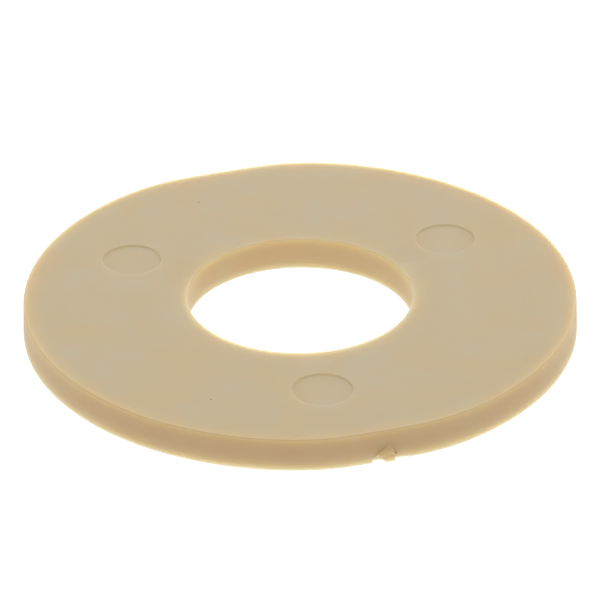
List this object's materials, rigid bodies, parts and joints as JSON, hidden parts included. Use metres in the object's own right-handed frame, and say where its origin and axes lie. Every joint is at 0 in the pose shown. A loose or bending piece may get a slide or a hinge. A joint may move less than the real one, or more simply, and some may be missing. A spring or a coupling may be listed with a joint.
{
  "type": "flat washer",
  "caption": "Thick round flat washer moulded in plastic, with a plain round bore, a slightly tapered rim and shallow moulding marks.",
  "frame": {"origin": "centre of the bore on the underside, the face that the washer lies on", "axes": "+Z along the bore out of the top face, which has the ejector-pin marks; -Y out through the gate in the rim; X along the rim's two flats"},
  "size_m": [0.032, 0.0316, 0.002],
  "materials": {
    "moulded_plastic": "natural tan, satin, as moulded"
  },
  "bodies": {
    "root": {"washer": "moulded_plastic"}
  },
  "joints": []
}
